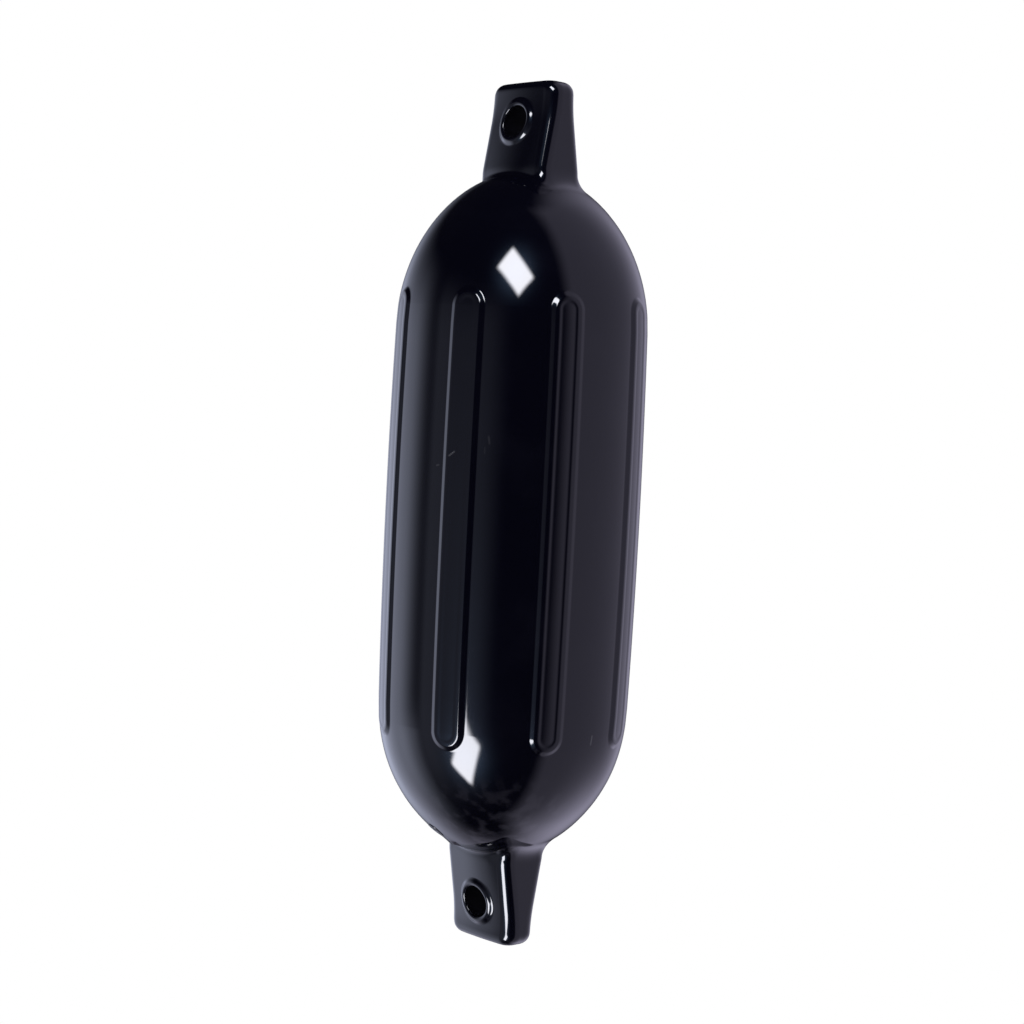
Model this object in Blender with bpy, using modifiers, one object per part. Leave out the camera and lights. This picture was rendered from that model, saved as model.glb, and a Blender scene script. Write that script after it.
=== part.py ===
"""Twin-eye pneumatic boat fender in moulded vinyl, hung by its upper eye.

The skin is one hollow moulding. A barely bowed barrel carries eight raised ribs, each end closes in an
elliptical dome, and a flat lug with an eye through it stands on top of each dome. A soft rubber
needle valve is pushed into the wall of the lower dome, where the fender is blown up.
Metres, +Z up. The origin is the middle of the upper eye, and the eyes run along Y.
"""

import math

import bmesh
import bpy
from mathutils import Matrix, Vector

# Barrel, domes and wall
BARREL_DIAMETER = 0.165
BARREL_LENGTH = 0.2446
BARREL_BOW = 0.0014
DOME_HEIGHT = 0.0993
WALL = 0.004

# Ribs, laid round the barrel either side of the faces that the eyes open on
RIB_COUNT = 8
RIB_WIDTH = 0.0225
RIB_LENGTH = 0.2874
RIB_HEIGHT = 0.0015
RIB_EDGE = 0.0009
RIB_ROOT = 0.002

# Lugs, from the top of the dome to the flat tip
LUG_HEIGHT = 0.0564
LUG_ROOT_WIDTH = 0.061
LUG_TIP_WIDTH = 0.059
LUG_ROOT_THICKNESS = 0.0325
LUG_TIP_THICKNESS = 0.0242
LUG_WAIST = 0.043
LUG_CORNER = 0.007
LUG_TIP_EDGE = 0.005
LUG_FILLET = 0.006
LUG_BLEND_RADIUS = 0.056

# Eyes and the round lip that stands proud of the lug round each mouth
EYE_DIAMETER = 0.020
EYE_TO_TIP = 0.0258
LIP_WIDTH = 0.0036
LIP_PROUD = 0.0030
LIP_ROUND = 0.0014

# Needle valve and its seat in the lower dome
VALVE_TURN = math.radians(-16)
VALVE_FROM_AXIS = 0.044
SEAT_DIAMETER = 0.0130
SEAT_DEPTH = 0.0013
BORE_DIAMETER = 0.0080
LANDING_DIAMETER = 0.0150
LANDING_DEPTH = 0.0004
BUNG_CROWN = 0.0005
BUNG_BARB_DIAMETER = 0.0108
BUNG_BARB_LENGTH = 0.0020
BUNG_NOSE_LENGTH = 0.0045
BUNG_NOSE_DIAMETER = 0.0050
NEEDLE_MOUTH_DIAMETER = 0.0030
NEEDLE_HOLE_DIAMETER = 0.0012
NEEDLE_MOUTH_DEPTH = 0.0016
FIT_GAP = 0.0003

# Facets
WIDE_STEPS = 8
NARROW_STEPS = 4
CORNER_STEPS = 6
BARREL_STEPS = 2
DOME_STEPS = 7
BLEND_STEPS = 4
FILLET_STEPS = 3
LUG_STEPS = 5
TIP_EDGE_STEPS = 3
RIB_END_STEPS = 8
RIB_EDGE_STEPS = 3
TURNED_STEPS = 36
CAVITY_DOME_STEPS = 8
LIP_STEPS = 3
HEIGHT_PASSES = 6

OVERSHOOT = 0.003
SMALL_STEP = 0.0001

# Lengths that follow from the sizes above
BARREL_RADIUS = BARREL_DIAMETER / 2
HALF_BARREL = BARREL_LENGTH / 2
DOME_TOP = HALF_BARREL + DOME_HEIGHT
TIP_HEIGHT = DOME_TOP + LUG_HEIGHT
EYE_HEIGHT = TIP_HEIGHT - EYE_TO_TIP
EYE_RADIUS = EYE_DIAMETER / 2
LIP_RADIUS = EYE_RADIUS + LIP_WIDTH
OUTLINE_POINTS = 4 * CORNER_STEPS + 2 * WIDE_STEPS + 2 * NARROW_STEPS


def clear_scene():
    """Remove whatever the open file already holds."""
    for old in list(bpy.data.objects):
        bpy.data.objects.remove(old, do_unlink=True)
    for old in list(bpy.data.collections):
        bpy.data.collections.remove(old)


def new_collection(name, shown=True):
    """A collection of the scene; a hidden one holds only cutters and other helpers."""
    made = bpy.data.collections.new(name)
    made.hide_render = not shown
    bpy.context.scene.collection.children.link(made)
    return made


def principled(name, colour, roughness, metallic=0.0):
    """A plain Principled finish."""
    made = bpy.data.materials.new(name)
    made.use_nodes = True
    shader = made.node_tree.nodes["Principled BSDF"]
    shader.inputs["Base Color"].default_value = (*colour, 1.0)
    shader.inputs["Roughness"].default_value = roughness
    shader.inputs["Metallic"].default_value = metallic
    return made


def new_object(name, mesh, collection, parent, material=None, helper=False):
    """An object of this mesh under the parent; a helper shapes another object and isn't rendered."""
    made = bpy.data.objects.new(name, mesh)
    made.parent = parent
    collection.objects.link(made)
    mesh.shade_smooth()
    if material:
        mesh.materials.append(material)
    if helper:
        made.hide_render = True
        made.display_type = "WIRE"
    return made


def bow_at(height):
    """Share of the radius that the slight bow of the skin leaves at this height."""
    return 1 - BARREL_BOW / BARREL_RADIUS * (height / HALF_BARREL) ** 2


def dome_height_at(radius):
    """Height of the dome's skin above the middle of the barrel, at this distance from the axis."""
    height = DOME_TOP
    for _ in range(HEIGHT_PASSES):
        share = min(radius / (BARREL_RADIUS * bow_at(height)), 1.0)
        height = HALF_BARREL + DOME_HEIGHT * math.sqrt(1 - share * share)
    return height


def skin_radius_at(height):
    """Distance of the barrel's or the dome's skin from the axis, at this height."""
    above = max(abs(height) - HALF_BARREL, 0.0) / DOME_HEIGHT
    return BARREL_RADIUS * math.sqrt(max(1 - above * above, 0.0)) * bow_at(height)


def dome_point(angle):
    """(distance from the axis, height) on the dome; angle 0 is its rim and a right angle its top."""
    height = HALF_BARREL + DOME_HEIGHT * math.sin(angle)
    return BARREL_RADIUS * math.cos(angle) * bow_at(height), height


def dome_normal(angle):
    """(outward, upward) unit normal of the dome at that point."""
    low = Vector(dome_point(angle - SMALL_STEP))
    high = Vector(dome_point(angle + SMALL_STEP))
    return Vector((high.y - low.y, low.x - high.x)).normalized()


def rounded_rectangle(half_x, half_y, corner):
    """Outline of a lug's section, anticlockwise from the middle of its +X side."""
    outline = []
    flat_x = half_x - corner
    flat_y = half_y - corner
    half_narrow = NARROW_STEPS // 2
    for step in range(half_narrow):
        outline.append(Vector((half_x, flat_y * step / half_narrow)))
    for quarter in range(4):
        centre_x = flat_x if quarter in (0, 3) else -flat_x
        centre_y = flat_y if quarter in (0, 1) else -flat_y
        for step in range(CORNER_STEPS + 1):
            turn = math.pi / 2 * (quarter + step / CORNER_STEPS)
            outline.append(
                Vector((centre_x + corner * math.cos(turn), centre_y + corner * math.sin(turn)))
            )
        steps = WIDE_STEPS if quarter in (0, 2) else NARROW_STEPS
        last = outline[-1]
        if quarter in (0, 2):
            following = Vector((-last.x, last.y))
        else:
            following = Vector((last.x, -last.y))
        stop = steps if quarter < 3 else half_narrow
        for step in range(1, stop):
            outline.append(last.lerp(following, step / steps))
    return outline


def ease(share):
    """Smooth rise from 0 to 1."""
    share = min(max(share, 0.0), 1.0)
    return share * share * (3 - 2 * share)


def lug_outline(height, grow=0.0):
    """Section of the upper lug at this height, offset outwards by grow."""
    share = (height - DOME_TOP) / LUG_HEIGHT
    width = LUG_ROOT_WIDTH + (LUG_TIP_WIDTH - LUG_ROOT_WIDTH) * min(max(share, 0.0), 1.0)
    thinning = LUG_ROOT_THICKNESS - LUG_TIP_THICKNESS
    thickness = LUG_ROOT_THICKNESS - thinning * ease((height - DOME_TOP) / LUG_WAIST)
    return rounded_rectangle(width / 2 + grow, thickness / 2 + grow, LUG_CORNER + grow)


def upper_skin_rings():
    """Rings of points from the middle of the barrel up to the flat tip of the upper lug."""
    turns = [2 * math.pi * index / OUTLINE_POINTS for index in range(OUTLINE_POINTS)]

    def circle(radius, height):
        return [Vector((radius * math.cos(turn), radius * math.sin(turn), height)) for turn in turns]

    rings = []
    for step in range(BARREL_STEPS):
        height = HALF_BARREL * step / BARREL_STEPS
        rings.append(circle(skin_radius_at(height), height))
    last_angle = math.acos(LUG_BLEND_RADIUS / BARREL_RADIUS)
    for step in range(DOME_STEPS + 1):
        rings.append(circle(*dome_point(last_angle * step / DOME_STEPS)))

    # The dome's circles turn into the lug's foot while they stay on the dome.
    start = [point.xy for point in rings[-1]]
    foot = lug_outline(DOME_TOP, LUG_FILLET)
    for step in range(1, BLEND_STEPS + 1):
        plan = [a.lerp(b, step / BLEND_STEPS) for a, b in zip(start, foot)]
        rings.append([point.to_3d() + Vector((0, 0, dome_height_at(point.length))) for point in plan])

    # A hollow fillet leads each point from the dome up into the lug's wall.
    foot_ring = rings[-1]
    root = lug_outline(DOME_TOP)
    bottoms = [dome_height_at(point.length) for point in root]
    for step in range(1, FILLET_STEPS + 1):
        share = step / FILLET_STEPS
        ring = []
        for index, low in enumerate(foot_ring):
            corner = Vector((*root[index], bottoms[index]))
            high = corner + Vector((0, 0, LUG_FILLET))
            ring.append(low.lerp(corner, share).lerp(corner.lerp(high, share), share))
        rings.append(ring)

    wall_top = TIP_HEIGHT - LUG_TIP_EDGE
    for step in range(1, LUG_STEPS + 1):
        ring = []
        for index, bottom in enumerate(bottoms):
            foot_height = bottom + LUG_FILLET
            height = foot_height + (wall_top - foot_height) * step / LUG_STEPS
            ring.append(Vector((*lug_outline(height)[index], height)))
        rings.append(ring)

    for step in range(1, TIP_EDGE_STEPS + 1):
        turn = math.pi / 2 * step / TIP_EDGE_STEPS
        inset = LUG_TIP_EDGE * (1 - math.cos(turn))
        height = wall_top + LUG_TIP_EDGE * math.sin(turn)
        rings.append([Vector((*point, height)) for point in lug_outline(height, -inset)])
    return rings


def loft(name, rings, cap_first=False, cap_last=False):
    """A mesh that joins rings of the same number of points, one after the other."""
    shape = bmesh.new()
    rows = [[shape.verts.new(point) for point in ring] for ring in rings]
    for lower, upper in zip(rows, rows[1:]):
        for index in range(len(lower)):
            after = (index + 1) % len(lower)
            shape.faces.new((lower[index], lower[after], upper[after], upper[index]))
    if cap_first:
        shape.faces.new(list(reversed(rows[0])))
    if cap_last:
        shape.faces.new(rows[-1])
    mesh = bpy.data.meshes.new(name)
    shape.to_mesh(mesh)
    shape.free()
    return mesh


def turned(name, profile, collection, parent, material=None, helper=False):
    """A solid turned round its own Z axis from (radius, height) points that run top to bottom."""
    mesh = bpy.data.meshes.new(name)
    points = [(radius, 0.0, height) for radius, height in profile]
    edges = [(index, index + 1) for index in range(len(points) - 1)]
    mesh.from_pydata(points, edges, [])
    made = new_object(name, mesh, collection, parent, material, helper)
    screw = made.modifiers.new("turn", "SCREW")
    screw.steps = TURNED_STEPS
    screw.render_steps = TURNED_STEPS
    screw.use_merge_vertices = True
    screw.merge_threshold = 0.0001
    return made


def arc(centre, radius, start, end, steps):
    """Points on an arc in the plane of a turned profile, its angles in degrees from the +X side."""
    points = []
    for step in range(steps + 1):
        turn = math.radians(start + (end - start) * step / steps)
        points.append((centre[0] + radius * math.cos(turn), centre[1] + radius * math.sin(turn)))
    return points


def add_skin(collection, parent, material):
    """The closed outer skin: the upper half lofted from ring to ring, and mirrored downwards."""
    mesh = loft("fender_body", upper_skin_rings(), cap_last=True)
    body = new_object("fender_body", mesh, collection, parent, material)
    mirror = body.modifiers.new("lower half", "MIRROR")
    mirror.use_axis = (False, False, True)
    mirror.merge_threshold = 0.0001
    return body


def rib_ring(turn, inset, height):
    """One ring round a rib, inset from its foot line and raised above the skin by height."""
    radius = RIB_WIDTH / 2 - inset
    end_centre = RIB_LENGTH / 2 - RIB_WIDTH / 2
    outline = []
    for side in (1, -1):
        for step in range(RIB_END_STEPS + 1):
            sweep = math.pi * step / RIB_END_STEPS
            across = side * radius * math.cos(sweep)
            along = side * (end_centre + radius * math.sin(sweep))
            outline.append((across, along))
        # The long sides bend with the bowed barrel and where the domes begin.
        for step in range(2 * BARREL_STEPS + 1):
            along = side * min(HALF_BARREL, end_centre) * (1 - step / BARREL_STEPS)
            outline.append((-side * radius, along))
    ring = []
    for across, along in outline:
        angle = turn + across / BARREL_RADIUS
        out = skin_radius_at(along) + height
        ring.append(Vector((out * math.sin(angle), -out * math.cos(angle), along)))
    return ring


def add_rib(index, collection, parent):
    """A long raised pad with full round ends, rooted in the wall and curved with the barrel."""
    turn = 2 * math.pi * (index + 0.5) / RIB_COUNT
    spine = RIB_WIDTH / 2
    rings = [rib_ring(turn, spine, -RIB_ROOT), rib_ring(turn, 0.0, -RIB_ROOT)]
    for step in range(RIB_EDGE_STEPS + 1):
        bend = math.pi / 2 * step / RIB_EDGE_STEPS
        inset = RIB_EDGE * (1 - math.cos(bend))
        rings.append(rib_ring(turn, inset, RIB_HEIGHT - RIB_EDGE * (1 - math.sin(bend))))
    rings.append(rib_ring(turn, (RIB_EDGE + spine) / 2, RIB_HEIGHT))
    rings.append(rib_ring(turn, spine, RIB_HEIGHT))
    mesh = loft(f"rib_{index + 1}", rings)

    # The first and last rings have closed up onto the rib's middle line.
    shape = bmesh.new()
    shape.from_mesh(mesh)
    bmesh.ops.remove_doubles(shape, verts=shape.verts, dist=0.00001)
    bmesh.ops.dissolve_degenerate(shape, edges=shape.edges, dist=0.00001)
    bmesh.ops.recalc_face_normals(shape, faces=shape.faces)
    shape.to_mesh(mesh)
    shape.free()
    return new_object(f"rib_{index + 1}", mesh, collection, parent, helper=True)


def add_eye_lip(name, height, collection, parent):
    """The round boss through a lug whose two ends make the lips round the eye."""
    reach = LUG_TIP_THICKNESS / 2 + LIP_PROUD
    round_centre = (LIP_RADIUS - LIP_ROUND, reach - LIP_ROUND)
    upper = arc(round_centre, LIP_ROUND, 90, 0, LIP_STEPS)
    lower = [(radius, -along) for radius, along in reversed(upper)]
    profile = [(0.0, reach), *upper, *lower, (0.0, -reach)]
    boss = turned(name, profile, collection, parent, helper=True)
    boss.location.z = height
    boss.rotation_euler.x = math.pi / 2
    return boss


def add_eye_cutter(name, height, collection, parent):
    """The bore of an eye, with rounded mouths."""
    reach = LUG_TIP_THICKNESS / 2 + LIP_PROUD
    mouth = EYE_RADIUS + LIP_ROUND
    upper = arc((mouth, reach - LIP_ROUND), LIP_ROUND, 90, 180, LIP_STEPS)
    lower = [(radius, -along) for radius, along in reversed(upper)]
    profile = [
        (0.0, reach + OVERSHOOT),
        (mouth, reach + OVERSHOOT),
        *upper,
        *lower,
        (mouth, -reach - OVERSHOOT),
        (0.0, -reach - OVERSHOOT),
    ]
    cutter = turned(name, profile, collection, parent, helper=True)
    cutter.location.z = height
    cutter.rotation_euler.x = math.pi / 2
    return cutter


def add_cavity(collection, parent):
    """The air space: the barrel and domes moved inwards by the wall; the lugs stay solid."""
    upper = []
    for step in range(CAVITY_DOME_STEPS + 1):
        angle = math.pi / 2 * (1 - step / CAVITY_DOME_STEPS)
        radius, height = dome_point(angle)
        normal = dome_normal(angle)
        upper.append((max(radius - WALL * normal.x, 0.0), height - WALL * normal.y))
    upper[0] = (0.0, upper[0][1])
    lower = [(radius, -height) for radius, height in reversed(upper)]
    barrel = []
    for step in range(1, 2 * BARREL_STEPS):
        height = HALF_BARREL * (1 - step / BARREL_STEPS)
        barrel.append((skin_radius_at(height) - WALL, height))
    return turned("cavity", [*upper, *barrel, *lower], collection, parent, helper=True)


def valve_frame():
    """Placement of the valve: its Z axis points out of the lower dome, its origin is on the skin."""
    angle = math.acos(VALVE_FROM_AXIS / BARREL_RADIUS)
    radius, height = dome_point(angle)
    normal = dome_normal(angle)
    out = Vector((math.sin(VALVE_TURN), -math.cos(VALVE_TURN), 0.0))
    place = out * radius - Vector((0, 0, height))
    facing = out * normal.x - Vector((0, 0, normal.y))
    return Matrix.Translation(place) @ facing.to_track_quat("Z", "Y").to_matrix().to_4x4()


def add_valve_seat_cutter(collection, parent):
    """Recess, bore and inner landing that the needle valve is pushed into."""
    seat = SEAT_DIAMETER / 2
    bore = BORE_DIAMETER / 2
    landing = LANDING_DIAMETER / 2
    landing_height = -WALL + LANDING_DEPTH
    bottom = -WALL - BUNG_BARB_LENGTH - BUNG_NOSE_LENGTH - OVERSHOOT
    profile = [
        (0.0, OVERSHOOT),
        (seat, OVERSHOOT),
        (seat, -SEAT_DEPTH),
        (bore, -SEAT_DEPTH),
        (bore, landing_height),
        (landing, landing_height),
        (landing, bottom),
        (0.0, bottom),
    ]
    cutter = turned("valve_seat", profile, collection, parent, helper=True)
    cutter.matrix_local = valve_frame()
    return cutter


def add_needle_valve(collection, parent, material):
    """The soft bung: a crowned flange, a stem through the wall, a barb behind it and a needle hole."""
    flange = SEAT_DIAMETER / 2 - FIT_GAP
    stem = BORE_DIAMETER / 2 - FIT_GAP
    barb = BUNG_BARB_DIAMETER / 2
    nose = BUNG_NOSE_DIAMETER / 2
    mouth = NEEDLE_MOUTH_DIAMETER / 2
    hole = NEEDLE_HOLE_DIAMETER / 2
    flange_under = -SEAT_DEPTH + FIT_GAP
    barb_top = -WALL + LANDING_DEPTH - FIT_GAP
    barb_bottom = barb_top - BUNG_BARB_LENGTH
    tip = barb_bottom - BUNG_NOSE_LENGTH
    profile = [
        (mouth, BUNG_CROWN),
        (flange - BUNG_CROWN, BUNG_CROWN),
        (flange, 0.0),
        (flange, flange_under),
        (stem, flange_under),
        (stem, barb_top),
        (barb, barb_top),
        (barb, barb_bottom),
        (nose, tip),
        (hole, tip),
        (hole, BUNG_CROWN - NEEDLE_MOUTH_DEPTH),
        (mouth, BUNG_CROWN),
    ]
    bung = turned("needle_valve", profile, collection, parent, material)
    bung.matrix_local = valve_frame()
    return bung


def combine(body, name, operation, helpers):
    """Join or cut the body with every object of a collection."""
    boolean = body.modifiers.new(name, "BOOLEAN")
    boolean.operation = operation
    boolean.operand_type = "COLLECTION"
    boolean.collection = helpers
    boolean.solver = "EXACT"
    return boolean


def main():
    clear_scene()
    fender = new_collection("twin_eye_fender")
    raised = new_collection("raised_shapes", shown=False)
    cutters = new_collection("cutters", shown=False)
    vinyl = principled("navy_black_vinyl", (0.004, 0.005, 0.010), 0.12)
    soft_rubber = principled("valve_rubber", (0.012, 0.012, 0.014), 0.45)

    middle = bpy.data.objects.new("barrel_middle", None)
    middle.location.z = -EYE_HEIGHT
    fender.objects.link(middle)

    body = add_skin(fender, middle, vinyl)
    for index in range(RIB_COUNT):
        add_rib(index, raised, middle)
    for name, height in (("upper", EYE_HEIGHT), ("lower", -EYE_HEIGHT)):
        add_eye_lip(f"{name}_eye_lip", height, raised, middle)
        add_eye_cutter(f"{name}_eye_bore", height, cutters, middle)
    add_cavity(cutters, middle)
    add_valve_seat_cutter(cutters, middle)
    combine(body, "ribs and lips", "UNION", raised)
    combine(body, "hollows", "DIFFERENCE", cutters)
    add_needle_valve(fender, middle, soft_rubber)


main()
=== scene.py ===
"""Looks of the twin-eye pneumatic boat fender: fine skin, valve, finishes, studio and camera.

The skin is one glossy navy-black vinyl moulding. It stands for the plain solid of the frame, inside
the same box, with soft rib edges, round eye lips and a moulded seat for the needle valve.
Metres, +Z up. The origin is the middle of the upper eye, and the eyes run along Y.
"""

import logging
import math
from dataclasses import dataclass
from enum import Enum

import bpy
from mathutils import Matrix, Vector


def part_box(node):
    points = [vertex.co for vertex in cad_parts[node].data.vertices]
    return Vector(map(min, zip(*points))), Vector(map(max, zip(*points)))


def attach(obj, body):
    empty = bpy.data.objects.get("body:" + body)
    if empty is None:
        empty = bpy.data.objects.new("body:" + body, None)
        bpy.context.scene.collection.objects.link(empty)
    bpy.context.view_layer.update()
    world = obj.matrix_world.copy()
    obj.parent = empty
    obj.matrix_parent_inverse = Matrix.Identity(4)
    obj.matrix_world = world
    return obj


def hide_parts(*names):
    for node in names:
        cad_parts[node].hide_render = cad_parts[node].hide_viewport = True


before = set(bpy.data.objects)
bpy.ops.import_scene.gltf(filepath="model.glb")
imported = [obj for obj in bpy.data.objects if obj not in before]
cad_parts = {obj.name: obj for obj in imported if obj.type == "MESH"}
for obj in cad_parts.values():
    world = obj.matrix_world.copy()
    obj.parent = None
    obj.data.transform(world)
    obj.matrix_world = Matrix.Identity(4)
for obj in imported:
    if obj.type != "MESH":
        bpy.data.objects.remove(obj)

LOG = logging.getLogger("fender")
PICTURE_SIZE = 1024
ROOT_BODY = "root"
UP = Vector((0, 0, 1))
WHITE = (1.0, 1.0, 1.0, 1.0)

# Where the rings between a block's border and the shape in it lie, as shares of the way
BORDER_SHARES = (0.4, 0.75)
SEAT_SHARES = (0.35, 0.7)

# How far the rings on a lug's flat tip are drawn in towards its middle line
TIP_SHARES = (0.5, 0.9)

SLOPE_STEP = 0.0001
NORMAL_STEP = 0.001
HEIGHT_PASSES = 6
SLIDE_PASSES = 8
RIDGE_DIGITS = 6

Block = tuple[int, int, int, int]
Profile = list[tuple[float, float]]
Section = list[tuple[Vector, Vector]]


class Slot(Enum):
    """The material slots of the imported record."""

    VINYL = "vinyl"
    VALVE_RUBBER = "valve_rubber"


class RayKind(Enum):
    """Outputs of the Light Path node that the studio tells apart."""

    CAMERA = "Is Camera Ray"
    GLOSSY = "Is Glossy Ray"
    THROUGH = "Is Transmission Ray"


def mix(low: float, high: float, share: float) -> float:
    """The value this share of the way from low to high."""
    return low + (high - low) * share


def between(low: float, high: float, count: int) -> list[float]:
    """The ends of this many even steps from low to high."""
    return [mix(low, high, step / count) for step in range(1, count + 1)]


def ease(share: float) -> float:
    """Smooth rise from 0 to 1; a share outside them is clamped."""
    share = min(max(share, 0.0), 1.0)
    return share * share * (3 - 2 * share)


def rounded_rise(share: float, low_bend: float, high_bend: float) -> float:
    """A straight rise from 0 to 1 with rounded ends.

    Args:
        share: Where on the rise, from 0 to 1.
        low_bend: How much of the rise the rounding at its foot takes.
        high_bend: How much of it the rounding at its top takes.

    Returns:
        The height there.
    """
    steepness = 1 / (1 - (low_bend + high_bend) / 2)
    if share < low_bend:
        return steepness * share * share / (2 * low_bend)
    if share > 1 - high_bend:
        return 1 - steepness * (1 - share) ** 2 / (2 * high_bend)
    return steepness * (share - low_bend / 2)


def quarter_arc(steps: int) -> Profile:
    """(sine, one less the cosine) at the ends of even steps of a quarter turn, from 0."""
    bends = [math.pi / 2 * step / steps for step in range(steps + 1)]
    return [(math.sin(bend), 1 - math.cos(bend)) for bend in bends]


def bearing(turn: float, lift: float) -> Vector:
    """Unit direction from a compass turn and a lift above the horizon.

    Args:
        turn: Degrees from -Y towards +X.
        lift: Degrees above the horizon.

    Returns:
        The direction in the row frame.
    """
    turn = math.radians(turn)
    lift = math.radians(lift)
    flat = math.cos(lift)
    return Vector((flat * math.sin(turn), -flat * math.cos(turn), math.sin(lift)))


def show(name: str, data: bpy.types.ID) -> bpy.types.Object:
    """Puts an object into the scene.

    Args:
        name: Its name.
        data: Its mesh, light or camera.

    Returns:
        The object.
    """
    made = bpy.data.objects.new(name, data)
    bpy.context.scene.collection.objects.link(made)
    return made


@dataclass(frozen=True)
class Lumps:
    """Noise by the width of a lump in metres and the octaves of finer lumps."""

    size: float
    detail: float


class Signal:
    """A node's output that Python's operators join into Math nodes."""

    def __init__(self, graph: "Graph", socket: bpy.types.NodeSocket) -> None:
        """Wraps the socket of a graph."""
        self.graph = graph
        self.socket = socket

    def math(self, operation: str, *others: "Signal | float") -> "Signal":
        """A Math node on this signal.

        Args:
            operation: The Math node's operation.
            others: Its second and third values.

        Returns:
            The node's result.
        """
        values = dict(enumerate((self, *others)))
        return self.graph.node("ShaderNodeMath", {"operation": operation}, values)

    def __add__(self, other: "Signal | float") -> "Signal":
        """self + other."""
        return self.math("ADD", other)

    def __radd__(self, other: float) -> "Signal":
        """other + self."""
        return self.math("ADD", other)

    def __sub__(self, other: "Signal | float") -> "Signal":
        """self - other."""
        return self.math("SUBTRACT", other)

    def __rsub__(self, other: float) -> "Signal":
        """other - self."""
        return self.math("MULTIPLY_ADD", -1.0, other)

    def __mul__(self, other: "Signal | float") -> "Signal":
        """self * other."""
        return self.math("MULTIPLY", other)

    def __rmul__(self, other: float) -> "Signal":
        """other * self."""
        return self.math("MULTIPLY", other)

    def __neg__(self) -> "Signal":
        """The signal with its sign turned."""
        return self.math("MULTIPLY", -1.0)

    def __abs__(self) -> "Signal":
        """The signal without its sign."""
        return self.math("ABSOLUTE")

    def larger(self, other: "Signal | float") -> "Signal":
        """The larger of this signal and another."""
        return self.math("MAXIMUM", other)

    def rise(self, low: float, high: float) -> "Signal":
        """A smooth step from 0 at low to 1 at high; low above high makes it fall."""
        values = {"Value": self, "From Min": low, "From Max": high}
        return self.graph.node("ShaderNodeMapRange", {"interpolation_type": "SMOOTHSTEP"}, values)


class Graph:
    """A node tree that is filled from Python expressions."""

    def __init__(self, tree: bpy.types.NodeTree) -> None:
        """Takes a tree and empties it."""
        self.tree = tree
        tree.nodes.clear()

    def node(
        self,
        kind: str,
        settings: dict | None = None,
        values: dict | None = None,
        output: str | int = 0,
    ) -> Signal:
        """Adds a node.

        Args:
            kind: The node's type.
            settings: Its properties, set before its sockets.
            values: Numbers, colours, vectors or signals by socket name or place.
            output: Name or place of the output that the signal stands for.

        Returns:
            The chosen output.
        """
        made = self.tree.nodes.new(kind)
        for name, setting in (settings or {}).items():
            setattr(made, name, setting)
        for place, value in (values or {}).items():
            if isinstance(value, Signal):
                self.tree.links.new(value.socket, made.inputs[place])
            else:
                made.inputs[place].default_value = value
        return Signal(self, made.outputs[output] if len(made.outputs) else None)

    def blend(self, low: object, high: object, share: "Signal | float") -> Signal:
        """The colour this share of the way from one colour or signal to another."""
        values = {"Factor": share, 6: low, 7: high}
        return self.node("ShaderNodeMix", {"data_type": "RGBA"}, values, output=2)

    def tinted(self, colour: tuple, level: Signal) -> Signal:
        """A colour scaled by a level that may pass 1."""
        return self.node("ShaderNodeVectorMath", {"operation": "SCALE"}, {0: colour, "Scale": level})

    def total(self, first: Signal, second: Signal) -> Signal:
        """The sum of two colours."""
        return self.node("ShaderNodeVectorMath", {"operation": "ADD"}, {0: first, 1: second})

    def along(self, direction: Vector, coordinate: Signal) -> Signal:
        """How far a coordinate reaches along a fixed direction."""
        settings = {"operation": "DOT_PRODUCT"}
        return self.node("ShaderNodeVectorMath", settings, {0: coordinate, 1: direction}, "Value")

    def noise(self, coordinate: Signal, lumps: Lumps) -> Signal:
        """Noise around one half with lumps of the given kind."""
        values = {"Vector": coordinate, "Scale": 1 / lumps.size, "Detail": lumps.detail}
        return self.node("ShaderNodeTexNoise", None, values)

    def bumped(self, height: Signal) -> Signal:
        """The normal of a surface that is raised by this height in metres."""
        values = {"Strength": 1.0, "Distance": 1.0, "Height": height}
        return self.node("ShaderNodeBump", None, values, "Normal")

    def choice(self, share: Signal, low: Signal, high: Signal) -> Signal:
        """The shader this share of the way from one shader to another."""
        return self.node("ShaderNodeMixShader", None, {0: share, 1: low, 2: high})

    def ray(self, kind: RayKind) -> Signal:
        """1 for rays of this kind and 0 for others."""
        return self.node("ShaderNodeLightPath", output=kind.value)

    def seen(self) -> Signal:
        """1 for what the camera sees, straight or through something clear."""
        return self.ray(RayKind.CAMERA).larger(self.ray(RayKind.THROUGH))


def new_finish(name: str) -> tuple[bpy.types.Material, Graph]:
    """An empty material.

    Args:
        name: Its name.

    Returns:
        The material and the graph of its nodes.
    """
    made = bpy.data.materials.new(name)
    made.use_nodes = True
    return made, Graph(made.node_tree)


@dataclass(frozen=True)
class WearMark:
    """A short scuff on the barrel, placed by its turn from -Y, height and run."""

    turn: float
    height: float
    length: float
    width: float
    tilt: float
    strength: float


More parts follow.
